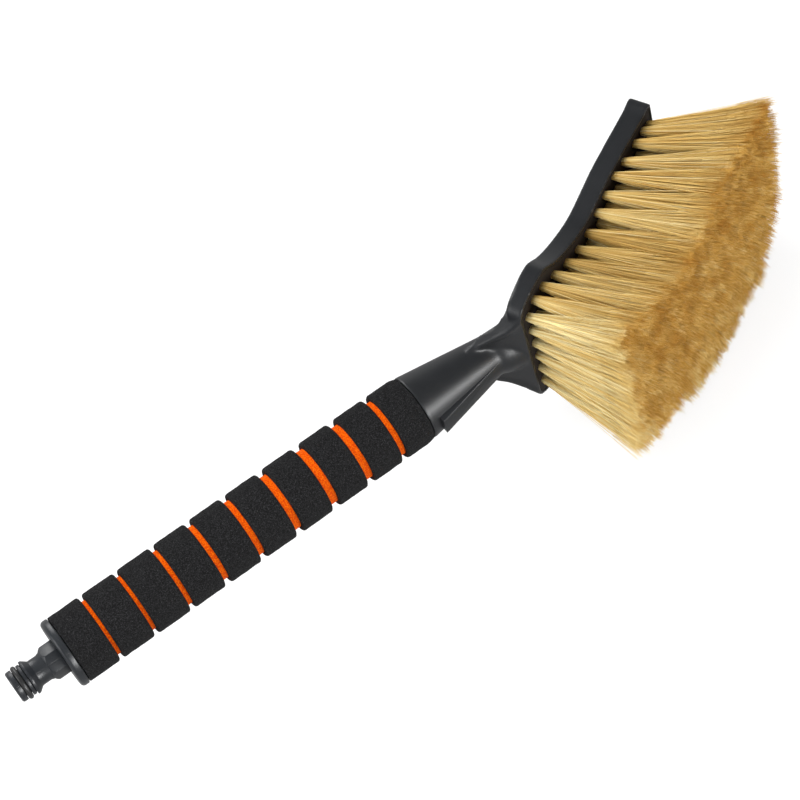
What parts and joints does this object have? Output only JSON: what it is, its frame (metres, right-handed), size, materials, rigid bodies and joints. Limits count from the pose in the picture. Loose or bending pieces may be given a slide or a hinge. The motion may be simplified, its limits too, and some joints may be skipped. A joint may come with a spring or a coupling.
{
  "type": "wash brush",
  "caption": "Water-fed wash brush: a hose connector, a tube handle in a ringed foam grip, and an angled hollow head full of soft bristles with water outlets between them.",
  "frame": {"origin": "under the middle of the whole brush, at its lowest point: the brush lies on its side", "axes": "+X along the handle, from the hose connector to the head; -Y is the side that the bristles point to; +Z across the brush, at right angles to the plane that the handle and the bristles share"},
  "size_m": [0.4444, 0.125, 0.1211],
  "materials": {
    "connector_plastic": "satin, fine moulded grain",
    "seal_rubber": "smooth",
    "bush_plastic": "satin",
    "tube_plastic": "satin",
    "orange_foam": "fine-celled foam",
    "black_foam": "fine-celled foam",
    "shell_plastic": "satin, fine moulded grain",
    "block_plastic": "matt",
    "bristle": "fine feathered strands"
  },
  "bodies": {
    "root": {"hose_nipple": "connector_plastic", "nipple_o_ring": "seal_rubber", "cap_washer": "seal_rubber", "tube_seal_ring": "seal_rubber", "tube_bush": "bush_plastic", "handle_tube": "tube_plastic", "grip_sleeve": "orange_foam", "grip_ring_01": "black_foam", "grip_ring_02": "black_foam", "grip_ring_03": "black_foam", "grip_ring_04": "black_foam", "grip_ring_05": "black_foam", "grip_ring_06": "black_foam", "grip_ring_07": "black_foam", "grip_ring_08": "black_foam", "grip_ring_09": "black_foam", "grip_ring_10": "black_foam", "head_shell": "shell_plastic", "bristle_block": "block_plastic", "tuft_row_01": "bristle", "tuft_row_02": "bristle", "tuft_row_03": "bristle", "tuft_row_04": "bristle", "tuft_row_05": "bristle", "tuft_row_06": "bristle", "tuft_row_07": "bristle", "tuft_row_08": "bristle", "tuft_row_09": "bristle", "tuft_row_10": "bristle", "tuft_row_11": "bristle", "tuft_row_12": "bristle", "tuft_row_13": "bristle", "tuft_row_14": "bristle"}
  },
  "joints": []
}
